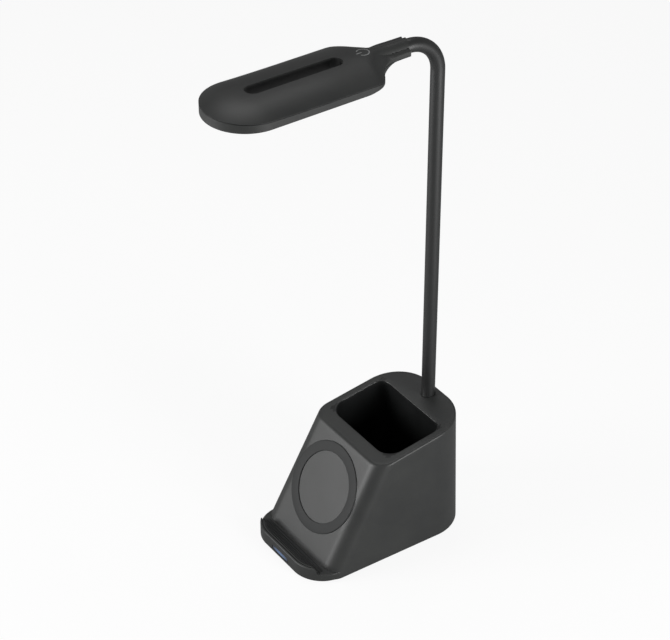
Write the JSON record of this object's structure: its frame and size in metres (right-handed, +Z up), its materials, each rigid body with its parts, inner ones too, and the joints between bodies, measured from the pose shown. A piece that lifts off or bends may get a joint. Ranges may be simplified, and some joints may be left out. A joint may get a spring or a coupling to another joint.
{
  "type": "desk lamp with pen holder",
  "caption": "Gooseneck desk lamp with a long slotted lamp head over a rounded base that holds a pen cup and a leaning wireless charging face.",
  "frame": {"origin": "centre of the base's footprint, on the table under the foot pad", "axes": "+Z up, -Y towards the front, where the charging face and the lamp head point, +X to the right of someone who faces the lamp's front"},
  "size_m": [0.0708, 0.1484, 0.3079],
  "materials": {
    "housing_plastic": "fine satin texture, charcoal",
    "cover_plastic": "fine matt texture, charcoal",
    "head_plastic": "satin, charcoal",
    "neck_coating": "satin black sleeve over a wound steel core",
    "black_silicone": "matt",
    "opal_diffuser": "opal, satin",
    "light_pipe": "translucent, polished",
    "board_green": "solder resist",
    "board_white": "white solder resist on an aluminium core",
    "copper": "enamelled copper",
    "ferrite": "matt sheet",
    "steel": "zinc plated",
    "ballast_steel": "raw"
  },
  "bodies": {
    "base": {"base_housing": "housing_plastic", "bottom_cover": "cover_plastic", "foot_pad": "black_silicone", "cover_screw_1": "steel", "cover_screw_2": "steel", "cover_screw_3": "steel", "cover_screw_4": "steel", "ballast_plate": "ballast_steel", "charging_pad_ring": "black_silicone", "charging_coil": "copper", "coil_ferrite_sheet": "ferrite", "shelf_grip_strip": "black_silicone", "status_light_pipe": "light_pipe", "charger_board": "board_green", "usb_board": "board_green", "usb_socket": "steel", "neck_root_stud": "neck_coating", "neck_lock_nut": "steel"},
    "link_01": {"neck_link_01": "neck_coating"},
    "link_02": {"neck_link_02": "neck_coating"},
    "link_03": {"neck_link_03": "neck_coating"},
    "link_04": {"neck_link_04": "neck_coating"},
    "link_05": {"neck_link_05": "neck_coating"},
    "link_06": {"neck_link_06": "neck_coating"},
    "link_07": {"neck_link_07": "neck_coating"},
    "link_08": {"neck_link_08": "neck_coating"},
    "bend_lower": {"neck_link_09": "neck_coating", "neck_link_10": "neck_coating"},
    "bend_upper": {"neck_link_11": "neck_coating", "neck_link_12": "neck_coating"},
    "head": {"head_neck_ferrule": "steel", "head_upper_shell": "head_plastic", "head_lower_shell": "head_plastic", "head_diffuser": "opal_diffuser", "led_board": "board_white", "touch_electrode": "copper", "head_screw_1": "steel", "head_screw_2": "steel"}
  },
  "joints": [
    {"name": "lean_1", "type": "hinge", "parent": "base", "child": "link_01", "pos_m": [0, 0.04705, 0.084], "axis": [1, 0, 0], "range_deg": [-9, 9]},
    {"name": "sway_1", "type": "hinge", "parent": "link_01", "child": "link_02", "pos_m": [0, 0.04705, 0.10927], "axis": [0, 1, 0], "range_deg": [-9, 9]},
    {"name": "lean_2", "type": "hinge", "parent": "link_02", "child": "link_03", "pos_m": [0, 0.04705, 0.13455], "axis": [1, 0, 0], "range_deg": [-9, 9]},
    {"name": "sway_2", "type": "hinge", "parent": "link_03", "child": "link_04", "pos_m": [0, 0.04705, 0.15982], "axis": [0, 1, 0], "range_deg": [-9, 9]},
    {"name": "lean_3", "type": "hinge", "parent": "link_04", "child": "link_05", "pos_m": [0, 0.04705, 0.18509], "axis": [1, 0, 0], "range_deg": [-9, 9]},
    {"name": "sway_3", "type": "hinge", "parent": "link_05", "child": "link_06", "pos_m": [0, 0.04705, 0.21037], "axis": [0, 1, 0], "range_deg": [-9, 9]},
    {"name": "lean_4", "type": "hinge", "parent": "link_06", "child": "link_07", "pos_m": [0, 0.04705, 0.23564], "axis": [1, 0, 0], "range_deg": [-9, 9]},
    {"name": "sway_4", "type": "hinge", "parent": "link_07", "child": "link_08", "pos_m": [0, 0.04705, 0.26092], "axis": [0, 1, 0], "range_deg": [-9, 9]},
    {"name": "crook_1", "type": "hinge", "parent": "link_08", "child": "bend_lower", "pos_m": [0, 0.04705, 0.28619], "axis": [1, 0, 0], "range_deg": [-22, 13]},
    {"name": "crook_2", "type": "hinge", "parent": "bend_lower", "child": "bend_upper", "pos_m": [0, 0.04151, 0.29706], "axis": [1, 0, 0], "range_deg": [-22, 13]},
    {"name": "crook_3", "type": "hinge", "parent": "bend_upper", "child": "head", "pos_m": [0, 0.03064, 0.3026], "axis": [1, 0, 0], "range_deg": [-22, 13]}
  ],
  "couplings": [
    {"joint": "lean_2", "follows": "lean_1", "ratio": 1},
    {"joint": "lean_3", "follows": "lean_1", "ratio": 1},
    {"joint": "lean_4", "follows": "lean_1", "ratio": 1},
    {"joint": "sway_2", "follows": "sway_1", "ratio": 1},
    {"joint": "sway_3", "follows": "sway_1", "ratio": 1},
    {"joint": "sway_4", "follows": "sway_1", "ratio": 1},
    {"joint": "crook_1", "follows": "crook_3", "ratio": 1},
    {"joint": "crook_2", "follows": "crook_3", "ratio": 1}
  ]
}
